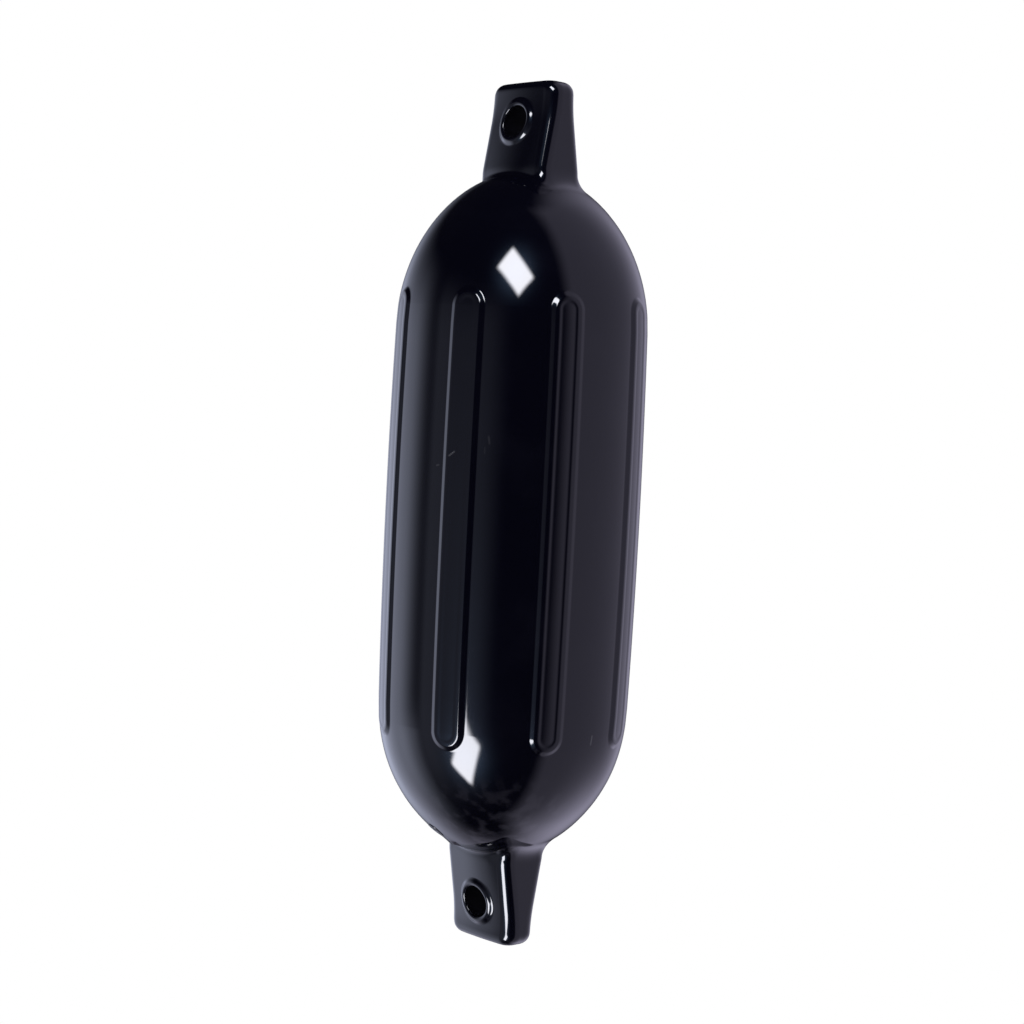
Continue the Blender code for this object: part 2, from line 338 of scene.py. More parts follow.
@dataclass(frozen=True)
class GlossyVinyl:
    """Navy-black plasticised vinyl with a wet gloss, faint handling haze, a few fine scuffs and painted
    shade in the eyes' bores.
    """

    name: str = "glossy_navy_vinyl"
    colour: tuple = (0.0011, 0.0011, 0.0036, 1.0)
    hazed_colour: tuple = (0.0020, 0.0020, 0.0050, 1.0)
    scuffed_colour: tuple = (0.060, 0.060, 0.070, 1.0)
    roughness: float = 0.045
    haze_roughness: float = 0.030
    scuff_roughness: float = 0.30
    refraction: float = 1.5
    # The bores' dark colour and low sheen are painted shade: they darken the eyes' holes where shade
    # falls.
    bore_shade_colour: tuple = (0.0012, 0.0012, 0.0022, 1.0)
    bore_roughness: float = 0.55
    bore_shade_sheen: float = 0.05
    bore_rim: float = 0.0010
    haze: Lumps = Lumps(0.045, 5.0)
    haze_cut: tuple = (0.45, 0.75)
    ripple: Lumps = Lumps(0.030, 1.0)
    ripple_depth: float = 0.00004
    peel: Lumps = Lumps(0.0035, 2.0)
    peel_depth: float = 0.0000015
    marks: tuple = (
        WearMark(19.3, 0.0408, 0.0060, 0.00075, 52.0, 0.60),
        WearMark(11.9, 0.0331, 0.0030, 0.00070, 75.0, 0.35),
        WearMark(35.6, 0.0504, 0.0060, 0.00090, -10.0, 0.16),
        WearMark(33.9, 0.0440, 0.0050, 0.00060, 0.0, 0.10),
        WearMark(92.0, -0.1349, 0.0075, 0.00080, 3.0, 0.55),
    )

    def scuffs(self, place: tuple, skin: "FenderSkin") -> Signal:
        """Where the scuffs are.

        Args:
            place: The x, y and z of the place on the skin.
            skin: The skin that carries them.

        Returns:
            The strength of the scuff there, and 0 elsewhere.
        """
        x, y, z = place
        turn = x.math("ARCTAN2", -y)
        found = 0.0
        for mark in self.marks:
            across = (turn - math.radians(mark.turn)) * skin.barrel_radius
            up = z - (mark.height + skin.middle)
            lean = math.radians(mark.tilt)
            run = across * math.sin(lean) + up * math.cos(lean)
            aside = across * math.cos(lean) - up * math.sin(lean)
            inside = abs(run).rise(mark.length / 2, mark.length / 3)
            line = abs(aside).rise(mark.width, mark.width / 3)
            found = (inside * line * mark.strength).larger(found)
        return found

    def shaded_bores(self, place: tuple, skin: "FenderSkin") -> Signal:
        """Where the walls of the two eyes are, which are made dark, dull and all but without sheen:
        painted shade inside the holes.

        Args:
            place: The x, y and z of the place on the skin.
            skin: The skin that the eyes go through.

        Returns:
            1 in a bore and 0 elsewhere.
        """
        x, _, z = place
        up = abs(z - skin.middle) - skin.eye_height
        return (x * x + up * up).math("SQRT").rise(skin.eye_radius + self.bore_rim, skin.eye_radius)

    def build(self, skin: "FenderSkin") -> bpy.types.Material:
        """The material.

        Args:
            skin: The skin that wears it.

        Returns:
            The material.
        """
        made, graph = new_finish(self.name)
        coordinate = graph.node("ShaderNodeTexCoord", output="Object")
        parts = graph.node("ShaderNodeSeparateXYZ", None, {0: coordinate}).socket.node.outputs
        place = tuple(Signal(graph, parts[axis]) for axis in ("X", "Y", "Z"))
        haze = graph.noise(coordinate, self.haze).rise(*self.haze_cut)
        scuff = self.scuffs(place, skin)
        ripple = graph.noise(coordinate, self.ripple) * self.ripple_depth
        peel = graph.noise(coordinate, self.peel) * self.peel_depth
        hazed = graph.blend(self.colour, self.hazed_colour, haze)
        gloss = {
            "Base Color": graph.blend(hazed, self.scuffed_colour, scuff),
            "Roughness": haze * self.haze_roughness + self.roughness + scuff * self.scuff_roughness,
            "IOR": self.refraction,
            "Normal": graph.bumped(ripple + peel),
        }
        # Bore finish: dark, rough and nearly without sheen, as painted shade inside the eyes.
        matt = {
            "Base Color": self.bore_shade_colour,
            "Roughness": self.bore_roughness,
            "Specular IOR Level": self.bore_shade_sheen,
        }
        shaders = [graph.node("ShaderNodeBsdfPrincipled", None, values) for values in (gloss, matt)]
        shader = graph.choice(self.shaded_bores(place, skin), *shaders)
        graph.node("ShaderNodeOutputMaterial", None, {"Surface": shader})
        return made


@dataclass(frozen=True)
class ValveRubber:
    """Soft black rubber of the needle valve, duller than the skin round it."""

    name: str = "valve_rubber"
    colour: tuple = (0.0040, 0.0040, 0.0060, 1.0)
    dusty_colour: tuple = (0.0090, 0.0090, 0.0110, 1.0)
    dust_cut: tuple = (0.4, 0.8)
    roughness: float = 0.12
    grain_roughness: float = 0.1
    grain: Lumps = Lumps(0.0006, 3.0)
    grain_depth: float = 0.00001

    def build(self) -> bpy.types.Material:
        """The material.

        Returns:
            The material, for the valve's bung.
        """
        made, graph = new_finish(self.name)
        coordinate = graph.node("ShaderNodeTexCoord", output="Object")
        grain = graph.noise(coordinate, self.grain)
        values = {
            "Base Color": graph.blend(self.colour, self.dusty_colour, grain.rise(*self.dust_cut)),
            "Roughness": grain * self.grain_roughness + self.roughness,
            "Normal": graph.bumped(grain * self.grain_depth),
        }
        shader = graph.node("ShaderNodeBsdfPrincipled", None, values)
        graph.node("ShaderNodeOutputMaterial", None, {"Surface": shader})
        return made


class Patchwork:
    """Vertices and faces gathered for one mesh."""

    def __init__(self) -> None:
        """Starts empty."""
        self.points: list[Vector] = []
        self.faces: list[tuple[int, ...]] = []

    def add(self, point: Vector) -> int:
        """Adds a vertex and returns its number."""
        self.points.append(point)
        return len(self.points) - 1

    def face(self, *corners: int) -> None:
        """Adds a face, without corners that repeat."""
        kept = tuple(corner for place, corner in enumerate(corners) if corner != corners[place - 1])
        if len(kept) > 2:
            self.faces.append(kept)

    def strip(self, first: list[int], second: list[int]) -> None:
        """Joins two loops of the same length with four-sided faces."""
        for place, vertex in enumerate(first):
            after = (place + 1) % len(first)
            self.face(vertex, first[after], second[after], second[place])

    def doubling(self, first: list[int], second: list[int]) -> None:
        """Joins a loop to one with twice as many vertices, by threes of triangles.

        Args:
            first: Vertices of the coarse loop.
            second: Vertices of the fine loop, two for each of the coarse one.
        """
        for place, vertex in enumerate(first):
            after = first[(place + 1) % len(first)]
            near, middle = second[2 * place], second[2 * place + 1]
            far = second[(2 * place + 2) % len(second)]
            self.face(vertex, after, middle)
            self.face(after, far, middle)
            self.face(vertex, middle, near)

    def rings(self, loop: list[int], rows: list[list[Vector]]) -> list[int]:
        """Joins a loop to ring after ring of new points.

        Args:
            loop: Vertices that the first ring joins.
            rows: The points of each ring, as many as in the loop, or all of them twice as many.

        Returns:
            Vertices of the last ring.
        """
        for points in rows:
            ring = [self.add(point) for point in points]
            join = self.doubling if len(ring) > len(loop) else self.strip
            join(loop, ring)
            loop = ring
        return loop

    def mesh(self, name: str) -> bpy.types.Mesh:
        """The mesh, shaded smooth, with vertices that nothing uses left out.

        Args:
            name: Name of the mesh.

        Returns:
            The mesh.
        """
        used = sorted({corner for face in self.faces for corner in face})
        number = {old: new for new, old in enumerate(used)}
        faces = [tuple(number[corner] for corner in face) for face in self.faces]
        made = bpy.data.meshes.new(name)
        made.from_pydata([self.points[old] for old in used], [], faces)
        made.validate()
        made.shade_smooth()
        return made


def add_piece(
    name: str, mesh: bpy.types.Mesh, material: bpy.types.Material, node: str
) -> bpy.types.Object:
    """Shows a piece in place of a node of the frame.

    Args:
        name: Name of the piece.
        mesh: Its mesh, in the row frame.
        material: Its finish.
        node: The node that it stands for.

    Returns:
        The piece.
    """
    piece = show(name, mesh)
    mesh.materials.append(material)
    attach(piece, ROOT_BODY)
    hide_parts(node)
    LOG.info("%s: %d faces", name, len(mesh.polygons))
    return piece


@dataclass
class FenderSkin:
    """The hollow vinyl moulding: barrel, domes, ribs, lugs, eyes and the seat of the valve.

    It is a grid of rows and columns, in which each rib, eye lip and the valve's seat fills a block.
    """

    middle: float
    tip_height: float
    barrel_radius: float = 0.0825
    half_barrel: float = 0.1223
    dome_height: float = 0.0993
    barrel_bow: float = 0.00136
    swell: float = 0.010

    rib_count: int = 8
    rib_width: float = 0.0240
    rib_length: float = 0.2880
    rib_height: float = 0.0015
    rib_slope: float = 0.0042
    rib_bend: float = 0.25
    rib_rim: float = 0.0010
    rib_dish: float = 0.00024
    dish_run: float = 0.4

    lug_root_width: float = 0.0598
    lug_tip_width: float = 0.0602
    lug_root_thickness: float = 0.0372
    lug_tip_thickness: float = 0.0234
    lug_waist: float = 0.0500
    waist_bend: float = 0.4
    root_corner: float = 0.0084
    tip_corner: float = 0.0094
    tip_side_round: float = 0.0085
    tip_face_round: float = 0.0055
    root_crown: float = 0.0019
    tip_crown: float = 0.0006
    wide_fillet: float = 0.0030
    right_fillet: float = 0.0100
    left_fillet: float = 0.0026
    blend_radius: float = 0.056

    eye_radius: float = 0.0100
    lip_foot: float = 0.0160
    lip_crest: float = 0.0121
    lip_proud: float = 0.0019
    lip_round: float = 0.0018

    valve_turn: float = math.radians(-16.0)
    valve_from_axis: float = 0.044
    seat_radius: float = 0.00625
    seat_depth: float = 0.0013
    seat_round: float = 0.00012
    bore_radius: float = 0.0040
    bore_depth: float = 0.0030

    rib_block: float = math.radians(19.2)
    rib_block_margin: float = 0.003
    rib_columns: int = 14
    gap_columns: int = 10
    corner_columns: int = 8
    narrow_columns: int = 24
    barrel_rows: int = 12
    rib_end_rows: int = 14
    dome_rows: int = 22
    foot_rows: int = 8
    fillet_rows: int = 12
    neck_rows: int = 8
    tip_rows: int = 12
    eye_block: int = 22
    eye_step: float = 0.00075
    valve_block_rows: int = 4
    valve_columns_before: int = 9
    valve_columns_after: int = 6
    slope_steps: int = 12
    rib_top_steps: int = 10
    mouth_steps: int = 9
    bore_steps: int = 8
    seat_steps: int = 5

    def __post_init__(self) -> None:
        """Works out the heights and counts that follow from the sizes."""
        self.dome_top = self.half_barrel + self.dome_height
        self.eye_height = -self.middle
        self.columns = self.rib_count * (self.rib_columns + self.gap_columns)
        self.wide_columns = self.columns // 2 - 2 * self.corner_columns - self.narrow_columns
        self.sector = 2 * math.pi / self.rib_count
        self.rib_straight = (self.rib_length - self.rib_width) / 2
        self.rib_last_row = self.barrel_rows + self.rib_end_rows
        self.rows: list[list[Vector]] = []
        self.work = Patchwork()

    def bow(self, height: float) -> float:
        """Share of the radius that the barrel's slight bow leaves at this height."""
        return 1 - self.barrel_bow / self.barrel_radius * (height / self.half_barrel) ** 2

    def radius_at(self, height: float) -> float:
        """Distance of the bare skin from the axis at this height above the middle."""
        above = max(abs(height) - self.half_barrel, 0.0) / self.dome_height
        return self.barrel_radius * math.sqrt(max(1 - above * above, 0.0)) * self.bow(height)

    def height_at(self, radius: float) -> float:
        """Height of the upper dome's skin.

        Args:
            radius: Distance from the axis.

        Returns:
            The height above the middle of the barrel.
        """
        height = self.dome_top
        for _ in range(HEIGHT_PASSES):
            share = min(radius / (self.barrel_radius * self.bow(height)), 1.0)
            height = self.half_barrel + self.dome_height * math.sqrt(1 - share * share)
        return height

    def on_dome(self, plan: Vector) -> Vector:
        """The upper dome's skin above a point of the plan."""
        return Vector((plan.x, plan.y, self.height_at(plan.length)))

    def on_skin(self, turn: float, height: float, proud: float = 0.0) -> Vector:
        """A point on the barrel or a dome.

        Args:
            turn: Radians from -Y towards +X.
            height: Height above the middle of the barrel.
            proud: How far the point stands out along the skin's normal.

        Returns:
            The point, with the middle of the barrel at the origin.
        """
        rise = self.radius_at(height + SLOPE_STEP) - self.radius_at(height - SLOPE_STEP)
        slope = rise / (2 * SLOPE_STEP)
        reach = proud / math.hypot(1, slope)
        out = self.radius_at(height) + reach
        return Vector((out * math.sin(turn), -out * math.cos(turn), height - reach * slope))

    def column_turns(self) -> list[float]:
        """Turns of the grid's columns, closer together over each rib.

        Returns:
            One turn for each column, in radians from -Y towards +X.
        """
        half_gap = (self.sector - self.rib_block) / 2
        half_columns = self.gap_columns // 2
        turns = [0.0]
        for sector in range(self.rib_count):
            start = sector * self.sector
            turns += between(start, start + half_gap, half_columns)
            turns += between(start + half_gap, start + half_gap + self.rib_block, self.rib_columns)
            turns += between(start + half_gap + self.rib_block, start + self.sector, half_columns)
        return turns[:-1]

    def outline(self, half_x: float, half_y: float, corner: float, crown: float) -> Section:
        """Section of a lug, from the middle of its -Y face towards +X.

        Args:
            half_x: Half of its width.
            half_y: Half of its thickness.
            corner: Radius of its corners.
            crown: How far the middles of its wide faces swell.

        Returns:
            A point and its outward normal for each column of the grid.
        """
        flat_x = half_x - corner
        flat_y = half_y - corner
        quarter = []
        half_wide = self.wide_columns // 2
        for step in range(half_wide):
            share = step / half_wide
            quarter.append((Vector((flat_x * share, -half_y - crown * (1 - share**2))), Vector((0, -1))))
        for sine, sag in quarter_arc(self.corner_columns)[:-1]:
            normal = Vector((sine, sag - 1))
            quarter.append((Vector((flat_x, -flat_y)) + corner * normal, normal))
        for rise in [-flat_y] + between(-flat_y, 0.0, self.narrow_columns // 2):
            quarter.append((Vector((half_x, rise)), Vector((1, 0))))
        back = [(Vector((p.x, -p.y)), Vector((n.x, -n.y))) for p, n in reversed(quarter[:-1])]
        right = quarter + back
        left = [(Vector((-p.x, p.y)), Vector((-n.x, n.y))) for p, n in reversed(right[1:-1])]
        return right + left

    def lug_share(self, height: float) -> float:
        """How far up the lug this height is, from 0 at its root to 1 at its tip."""
        return min(max((height - self.dome_top) / (self.tip_height - self.dome_top), 0.0), 1.0)

    def edge_inset(self, height: float, radius: float) -> float:
        """How far a rounded edge of this radius draws the section in at this height."""
        above = min(max(height - (self.tip_height - radius), 0.0), radius)
        return radius - math.sqrt(radius * radius - above * above)

    def lug_half_thickness(self, height: float) -> float:
        """Half of the lug's thickness at this height, before the tip's rounded edge."""
        above = min(max((height - self.dome_top) / self.lug_waist, 0.0), 1.0)
        share = rounded_rise(above, 0.0, self.waist_bend)
        return mix(self.lug_root_thickness, self.lug_tip_thickness, share) / 2

    def lug_section(self, height: float) -> Section:
        """Section of the upper lug, with the tip's rounded edge taken off.

        Args:
            height: Height above the middle of the barrel.

        Returns:
            A point and its outward normal for each column of the grid.
        """
        share = self.lug_share(height)
        inset = self.edge_inset(height, self.tip_face_round)
        half_x = mix(self.lug_root_width, self.lug_tip_width, share) / 2
        return self.outline(
            half_x - self.edge_inset(height, self.tip_side_round),
            self.lug_half_thickness(height) - inset,
            mix(self.root_corner, self.tip_corner, share) - inset,
            mix(self.root_crown, self.tip_crown, share),
        )

    def lug_row(self, height: float) -> list[Vector]:
        """The lug's skin all round at this height."""
        return [Vector((*point, height)) for point, _ in self.lug_section(height)]

    def on_face(self, across: float, height: float, rise: float) -> float:
        """Distance from the fender's middle plane to a lug's wide face.

        Args:
            across: Distance from the middle of the face.
            height: Height above the middle of the barrel.
            rise: Height above the face.

        Returns:
            The distance.
        """
        share = self.lug_share(height)
        flat = mix(self.lug_root_width, self.lug_tip_width, share) / 2
        flat -= mix(self.root_corner, self.tip_corner, share)
        crown = mix(self.root_crown, self.tip_crown, share)
        return self.lug_half_thickness(height) + crown * (1 - (across / flat) ** 2) + rise

    def fillet_at(self, normal: Vector) -> float:
        """Size of the hollow between dome and lug, where the lug's wall faces this way."""
        side = self.right_fillet if normal.x > 0 else self.left_fillet
        return mix(self.wide_fillet, side, ease(abs(normal.x)))

    def build_rows(self) -> None:
        """Works out the grid's rows from the middle of the barrel up to the tip."""
        block_top = self.rib_straight + self.rib_width / 2 + self.rib_block_margin
        heights = [0.0] + between(0.0, self.rib_straight, self.barrel_rows)
        heights += between(self.rib_straight, block_top, self.rib_end_rows)
        heights += between(block_top, self.height_at(self.blend_radius), self.dome_rows)
        turns = self.column_turns()
        self.rows = [[self.on_skin(turn, height) for turn in turns] for height in heights]

        # The dome's circles turn into the lug's foot while they stay on the dome.
        root = self.lug_section(self.dome_top)
        fillets = [self.fillet_at(normal) for _, normal in root]
        foot = [point + normal * fillet for (point, normal), fillet in zip(root, fillets)]
        circle = [point.xy for point in self.rows[-1]]
        for share in between(0.0, 1.0, self.foot_rows):
            self.rows.append([self.on_dome(a.lerp(b, share)) for a, b in zip(circle, foot)])

        # A hollow fillet leads each point from the dome up into the lug's wall.
        bases = [self.on_dome(point) for point, _ in root]
        highs = [base + UP * fillet for base, fillet in zip(bases, fillets)]
        bends = list(zip(self.rows[-1], bases, highs))
        for share in between(0.0, 1.0, self.fillet_rows):
            self.rows.append(
                [low.lerp(base, share).lerp(base.lerp(high, share), share) for low, base, high in bends]
            )

        half_block = self.eye_block * self.eye_step
        block_low = self.eye_height - half_block
        block_top = self.eye_height + half_block
        for share in between(0.0, 1.0, self.neck_rows):
            row = []
            for column, high in enumerate(highs):
                row.append(self.lug_row(mix(high.z, block_low, share))[column])
            self.rows.append(row)
        self.eye_first_row = len(self.rows) - 1
        self.rows += [self.lug_row(height) for height in between(block_low, block_top, 2 * self.eye_block)]
        self.eye_last_row = len(self.rows) - 1
        for sine, _ in quarter_arc(self.tip_rows)[1:]:
            self.rows.append(self.lug_row(mix(block_top, self.tip_height, sine)))

        # The flat tip is drawn in towards its middle line.
        edge = self.rows[-1]
        reach = max(point.x for point in edge) - max(point.y for point in edge)
        line = [Vector((min(max(point.x, -reach), reach), 0.0, self.tip_height)) for point in edge]
        for share in TIP_SHARES:
            self.rows.append([point.lerp(end, share) for point, end in zip(edge, line)])

    def build_mesh(self, name: str) -> bpy.types.Mesh:
        """The closed skin.

        Args:
            name: Name of the mesh.

        Returns:
            The mesh, in the row frame.
        """
        self.build_rows()
        upper = [[self.work.add(point) for point in row] for row in self.rows]
        flip = Matrix.Scale(-1, 3, UP)
        lower = [[self.work.add(flip @ point) for point in row] for row in self.rows[1:]]
        self.grid = list(reversed(lower)) + upper
        self.zero_row = len(lower)
        ribs, eyes, valve = self.rib_blocks(), self.eye_blocks(), self.valve_block()
        covered = set()
        for first_row, last_row, first_column, last_column in (*ribs, *eyes, valve):
            for row in range(first_row, last_row):
                covered |= {(row, column % self.columns) for column in range(first_column, last_column)}
        for row, (low, high) in enumerate(zip(self.grid, self.grid[1:])):
            for column in range(self.columns):
                if (row, column) not in covered:
                    after = (column + 1) % self.columns
                    self.work.face(low[column], low[after], high[after], high[column])
        self.work.face(*self.grid[-1])
        self.work.face(*reversed(self.grid[0]))
        for index, block in enumerate(ribs):
            self.fill_rib(index, block)
        self.fill_eye(self.eye_height, *eyes[:2])
        self.fill_eye(-self.eye_height, *eyes[2:])
        self.fill_valve_seat(valve)
        self.work.points = [self.placed(point) for point in self.work.points]
        return self.work.mesh(name)

    def placed(self, point: Vector) -> Vector:
        """A point of the even, centred shape where the real skin has it.

        The lower dome is a little fuller than the upper one.

        Args:
            point: The point, with the middle of the barrel at the origin.

        Returns:
            The point in the row frame.
        """
        share = min(max((-point.z - self.half_barrel) / self.dome_height, 0.0), 1.0)
        wider = 1 + self.swell * math.sin(math.pi * share) ** 2
        return Vector((point.x * wider, point.y * wider, point.z + self.middle))

    def rib_blocks(self) -> list[Block]:
        """Blocks of the grid that the ribs take.

        Returns:
            First and last row and column of each.
        """
        rows = (self.zero_row - self.rib_last_row, self.zero_row + self.rib_last_row)
        span = self.rib_columns + self.gap_columns
        starts = [rib * span + self.gap_columns // 2 for rib in range(self.rib_count)]
        return [(*rows, start, start + self.rib_columns) for start in starts]

    def eye_blocks(self) -> list[Block]:
        """Blocks that the eyes take: front and back of the upper eye, then of the lower one.

        Returns:
            First and last row and column of each.
        """
        blocks = []
        for sign in (1, -1):
            rows = sorted(self.zero_row + sign * row for row in (self.eye_first_row, self.eye_last_row))
            for middle in (0, self.columns // 2):
                blocks.append((*rows, middle - self.eye_block, middle + self.eye_block))
        return blocks

    def valve_block(self) -> Block:
        """Block of the lower dome's grid round the valve.

        Returns:
            Its first and last row and column.
        """
        turns = self.column_turns()
        target = self.valve_turn % (2 * math.pi)
        column = min(range(self.columns), key=lambda place: abs(turns[place] - target))
        height = self.height_at(self.valve_from_axis)
        candidates = range(self.rib_last_row, len(self.rows))
        row = min(candidates, key=lambda place: abs(self.rows[place][column].z - height))
        middle = self.zero_row - row
        rows = (middle - self.valve_block_rows, middle + self.valve_block_rows)
        return (*rows, column - self.valve_columns_before, column + self.valve_columns_after)

    def border(self, block: Block) -> list[int]:
        """The loop round a block, anticlockwise as seen from outside.

        Args:
            block: Its first and last row and column.

        Returns:
            Vertices of the loop.
        """
        first_row, last_row, first_column, last_column = block
        places = [(first_row, column) for column in range(first_column, last_column)]
        places += [(row, last_column) for row in range(first_row, last_row)]
        places += [(last_row, column) for column in range(last_column, first_column, -1)]
        places += [(row, first_column) for row in range(last_row, first_row, -1)]
        return [self.grid[row][column % self.columns] for row, column in places]

    @staticmethod
    def steps_in(reaches: list[float], profile: Profile) -> list[tuple[list[float], float]]:
        """Rings from the border of a block to the end of a profile.

        Args:
            reaches: Distance of each vertex of the border from the middle of the shape.
            profile: (distance, height) points, from the shape's foot inwards.

        Returns:
            The distances and the height of each ring.
        """
        foot = profile[0][0]
        rings = [([mix(reach, foot, share) for reach in reaches], 0.0) for share in BORDER_SHARES]
        return rings + [([distance] * len(reaches), height) for distance, height in profile]

    def rib_profile(self) -> Profile:
        """Half of a rib's section: a soft edge and a slightly dished top.

        Returns:
            (distance from the rib's middle line, height) from the foot to the middle line.
        """
        foot = self.rib_width / 2
        crest = foot - self.rib_slope
        points = [(foot, 0.0)]
        for share in between(0.0, 1.0, self.slope_steps):
            height = self.rib_height * rounded_rise(share, self.rib_bend, self.rib_bend)
            points.append((mix(foot, crest, share), height))
        for share in between(0.0, 1.0, self.rib_top_steps):
            height = self.rib_height - self.rib_dish * ease(share / self.dish_run)
            points.append(((crest - self.rib_rim) * (1 - share), height))
        return points

    def fill_rib(self, index: int, block: Block) -> None:
        """Fills a block with a rib: a long pad with round ends, soft edges and a dished top.

        Args:
            index: Which rib, counted from -Y towards +X.
            block: The block of the grid that it takes.
        """
        centre = (index + 0.5) * self.sector
        loop = self.border(block)
        places = []
        for vertex in loop:
            point = self.work.points[vertex]
            off = (math.atan2(point.x, -point.y) - centre + math.pi) % (2 * math.pi) - math.pi
            places.append(Vector((off * self.barrel_radius, point.z)))
        end = self.rib_straight
        spines = [Vector((0.0, min(max(place.y, -end), end))) for place in places]
        arms = [place - spine for place, spine in zip(places, spines)]
        profile = self.rib_profile()
        rows = []
        for distances, height in self.steps_in([arm.length for arm in arms], profile[:-1]):
            row = []
            for spine, arm, distance in zip(spines, arms, distances):
                spot = spine + arm.normalized() * distance
                row.append(self.on_skin(centre + spot.x / self.barrel_radius, spot.y, height))
            rows.append(row)
        inner = self.work.rings(loop, rows)
        ridge = [round(spine.y, RIDGE_DIGITS) for spine in spines]
        top = profile[-1][1]
        made = {along: self.work.add(self.on_skin(centre, along, top)) for along in sorted(set(ridge))}
        self.work.strip(inner, [made[along] for along in ridge])

    def lip_profile(self) -> Profile:
        """Half of an eye lip's section.

        Returns:
            (distance from the eye's axis, height above the face) from the foot into the bore.
        """
        points = [(self.lip_foot, 0.0)]
        for share in between(0.0, 1.0, self.slope_steps):
            points.append((mix(self.lip_foot, self.lip_crest, share), self.lip_proud * ease(share)))
        for sine, sag in quarter_arc(self.mouth_steps)[1:]:
            distance = mix(self.lip_crest, self.eye_radius, sine)
            points.append((distance, self.lip_proud - self.lip_round * sag))
        return points

    def fill_eye(self, height: float, front: Block, back: Block) -> None:
        """Fills the two blocks of an eye with its lips and joins them through the lug.

        Args:
            height: Height of the eye above the middle of the barrel.
            front: The block on the -Y face.
            back: The block on the +Y face.
        """
        mouths = []
        for block, side in ((front, -1), (back, 1)):
            loop = self.border(block)
            points = [self.work.points[vertex] for vertex in loop]
            places = [Vector((point.x, point.z - height)) for point in points]
            rows = []
            for distances, rise in self.steps_in([place.length for place in places], self.lip_profile()):
                row = []
                for place, distance in zip(places, distances):
                    across, up = place.normalized() * distance
                    out = side * self.on_face(across, abs(height + up), rise)
                    row.append(Vector((across, out, height + up)))
                rows.append(row)
            mouths.append(self.work.rings(loop, rows))
        near, far = mouths
        # Seen from outside, the back loop runs the other way; this pairs equal places.
        far = [far[(2 * self.eye_block - place) % len(far)] for place in range(len(far))]
        ends = [(self.work.points[a], self.work.points[b]) for a, b in zip(near, far)]
        shares = between(0.0, 1.0, self.bore_steps)[:-1]
        rows = [[a.lerp(b, share) for a, b in ends] for share in shares]
        self.work.strip(self.work.rings(near, rows), far)

    def valve_frame(self) -> Matrix:
        """Placement of the valve, before the shift into the row frame.

        Returns:
            The placement: Z points out of the lower dome, and the origin is on its skin.
        """
        height = -self.height_at(self.valve_from_axis)
        place = self.on_skin(self.valve_turn, height)
        out = (self.on_skin(self.valve_turn, height, NORMAL_STEP) - place).normalized()
        return Matrix.Translation(place) @ out.to_track_quat("Z", "Y").to_matrix().to_4x4()

    def onto_skin(self, point: Vector, normal: Vector) -> Vector:
        """Slides a point along a normal until it lies on the bare skin.

        Args:
            point: The point.
            normal: The direction that it slides in.

        Returns:
            The point on the skin.
        """
        for _ in range(SLIDE_PASSES):
            gap = math.hypot(point.x, point.y) - self.radius_at(point.z)
            point = point - normal * gap
        return point

    @staticmethod
    def even_rays(spots: list[Vector]) -> list[Vector]:
        """Evenly spread flat directions that run round with a loop of spots.

        Args:
            spots: The loop, round the origin of the plane.

        Returns:
            One unit vector for each spot.
        """
        turns = [math.atan2(spot.y, spot.x) for spot in spots]
        whole = 2 * math.pi
        step = math.copysign(whole / len(spots), spots[0].cross(spots[1]))
        lags = [
            (turn - turns[0] - step * place + math.pi) % whole - math.pi
            for place, turn in enumerate(turns)
        ]
        first = turns[0] + sum(lags) / len(lags)
        evened = [first + step * place for place in range(len(spots))]
        return [Vector((math.cos(turn), math.sin(turn))) for turn in evened]

    def fill_valve_seat(self, block: Block) -> None:
        """Fills a block of the lower dome with the recess that the valve sits in.

        Args:
            block: The block of the grid that it takes.
        """
        seat = self.valve_frame()
        normal = (seat.to_3x3() @ UP).normalized()
        inverse = seat.inverted()
        loop = self.border(block)
        flats = [(inverse @ self.work.points[vertex]).xy for vertex in loop]
        outer = []
        for flat, after in zip(flats, flats[1:] + flats[:1]):
            outer += [flat, flat.lerp(after, 0.5)]
        rays = self.even_rays(outer)
        edge = self.seat_radius + self.seat_round
        arc = quarter_arc(self.seat_steps)
        circles = [(edge - self.seat_round * sine, -self.seat_round * sag) for sine, sag in arc]
        circles.append((self.seat_radius, -self.seat_depth))
        circles.append((self.bore_radius, -self.seat_depth))
        circles.append((self.bore_radius, -self.bore_depth))
        rings = []
        for share in SEAT_SHARES:
            rings.append(([spot.lerp(ray * edge, share) for spot, ray in zip(outer, rays)], 0.0))
        rings += [([ray * distance for ray in rays], drop) for distance, drop in circles]
        rows = []
        for spots, drop in rings:
            skin = [self.onto_skin(seat @ spot.to_3d(), normal) for spot in spots]
            rows.append([point + normal * drop for point in skin])
        self.work.face(*self.work.rings(loop, rows))

    def build(self) -> bpy.types.Object:
        """The skin in its vinyl, in place of the plain body."""
        vinyl = GlossyVinyl().build(self)
        return add_piece("fender_skin", self.build_mesh("fender_skin"), vinyl, "fender_body")


